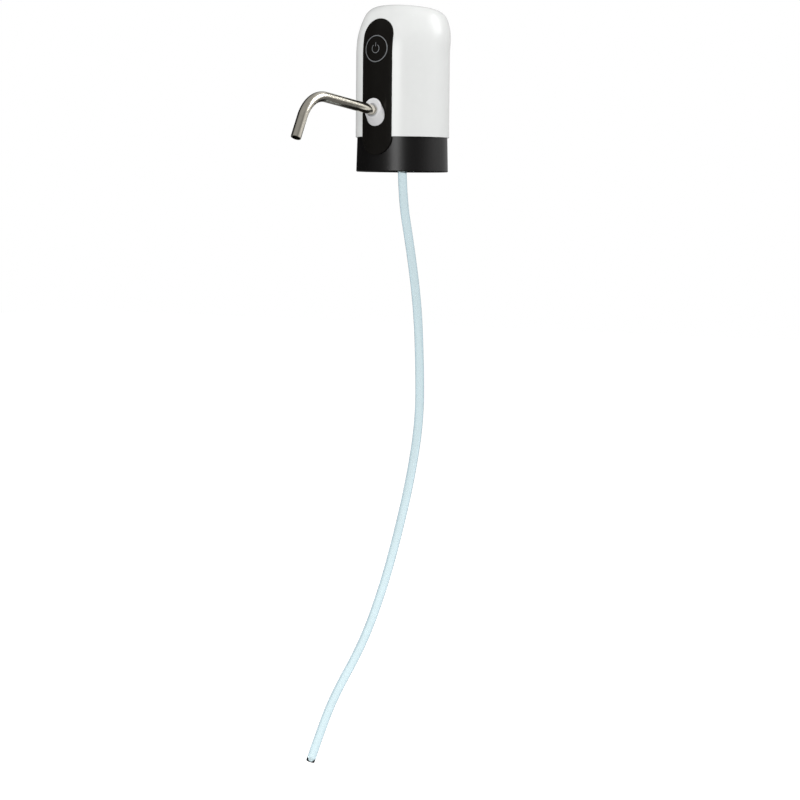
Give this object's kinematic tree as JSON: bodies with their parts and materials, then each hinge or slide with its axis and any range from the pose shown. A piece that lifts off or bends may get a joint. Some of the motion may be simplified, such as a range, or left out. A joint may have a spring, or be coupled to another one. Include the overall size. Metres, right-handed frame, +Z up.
{
  "type": "water jug pump",
  "caption": "Electric pump for the neck of a water jug: domed housing on a ribbed collar, push button, swivelling bent spout and a hanging suction hose.",
  "frame": {"origin": "centre of the jug's rim plane, where the neck seal's flange rests on the rim", "axes": "+Z up, -Y the way the spout points, +X to the right of someone who looks at the rear; the button faces -Y"},
  "size_m": [0.0969, 0.1802, 0.6102],
  "materials": {
    "white_gloss": "gloss",
    "black_gloss": "gloss",
    "black_satin": "satin",
    "seal_silicone": "matt",
    "screw_steel": "satin",
    "white_nylon": "satin",
    "grey_silicone": "matt",
    "clear_silicone": "clear satin",
    "socket_white": "gloss",
    "light_guide": "frosted",
    "switch_black": "matt",
    "board_green": "satin",
    "frame_grey": "matt",
    "pump_black": "matt",
    "pump_white": "matt",
    "valve_silicone": "matt",
    "diaphragm_rubber": "matt",
    "motor_steel": "satin",
    "cap_nylon": "matt",
    "ferrite": "matt",
    "bronze": "satin",
    "carbon": "matt",
    "terminal_brass": "polished",
    "cell_sleeve": "gloss",
    "nickel": "polished",
    "lamp_white": "gloss",
    "red_vinyl": "satin",
    "black_vinyl": "satin",
    "white_vinyl": "satin",
    "button_black": "gloss",
    "switch_red": "matt",
    "iron_stack": "satin",
    "copper": "enamelled",
    "cam_nylon": "matt",
    "sleeve_grey": "satin",
    "black_rubber": "matt",
    "stainless": "polished"
  },
  "bodies": {
    "housing": {"top_housing": "white_gloss", "front_panel": "black_gloss", "base_collar": "black_satin", "neck_seal": "seal_silicone", "base_screws": "screw_steel", "inlet_nozzle": "white_nylon", "inlet_gasket": "grey_silicone", "inlet_nut": "white_nylon", "inlet_tube": "clear_silicone", "suction_hose": "clear_silicone", "spout_socket": "socket_white", "socket_nut": "white_nylon", "button_ring": "light_guide", "switch_body": "switch_black", "button_board": "board_green", "chassis": "frame_grey", "pump_cover": "pump_black", "valve_plate": "pump_white", "inlet_valves": "valve_silicone", "outlet_valve": "valve_silicone", "diaphragm": "diaphragm_rubber", "wobble_yoke": "pump_white", "pump_case": "pump_black", "pump_screws": "screw_steel", "outlet_tube": "clear_silicone", "motor_can": "motor_steel", "motor_screws": "screw_steel", "motor_end_cap": "cap_nylon", "motor_magnets": "ferrite", "motor_bearings": "bronze", "motor_brushes": "carbon", "motor_terminals": "terminal_brass", "motor_damper": "black_rubber", "battery_cell": "cell_sleeve", "cell_terminal": "nickel", "control_board": "board_green", "board_parts": "switch_black", "usb_socket": "nickel", "usb_tongue": "switch_black", "charge_lens": "light_guide", "charge_lamp": "lamp_white", "motor_lead_red": "red_vinyl", "motor_lead_black": "black_vinyl", "cell_lead_red": "red_vinyl", "cell_lead_black": "black_vinyl", "button_leads": "white_vinyl"},
    "button": {"button_cap": "button_black", "switch_plunger": "switch_red"},
    "rotor": {"motor_shaft": "screw_steel", "motor_armature": "iron_stack", "motor_windings": "copper", "motor_commutator": "copper", "drive_cam": "cam_nylon", "cam_pin": "screw_steel"},
    "spout_plug": {"spout_sleeve": "sleeve_grey", "spout_o_ring": "black_rubber"},
    "spout": {"spout_tube": "stainless"}
  },
  "joints": [
    {"name": "button_press", "type": "slide", "parent": "housing", "child": "button", "axis": [0, 1, 0], "range_m": [0, 0.0008], "stiffness_N_per_m": 1500, "springref_m": -0.0005},
    {"name": "motor_spin", "type": "hinge", "parent": "housing", "child": "rotor", "pos_m": [-0.005, 0.007, 0.06], "axis": [0, 0, 1], "continuous": true},
    {"name": "spout_pull", "type": "slide", "parent": "housing", "child": "spout_plug", "axis": [0, -0.9925, 0.1219], "range_m": [0, 0.016]},
    {"name": "spout_swivel", "type": "hinge", "parent": "spout_plug", "child": "spout", "pos_m": [0, -0.036, 0.02923], "axis": [0, -0.9925, 0.1219], "continuous": true}
  ]
}
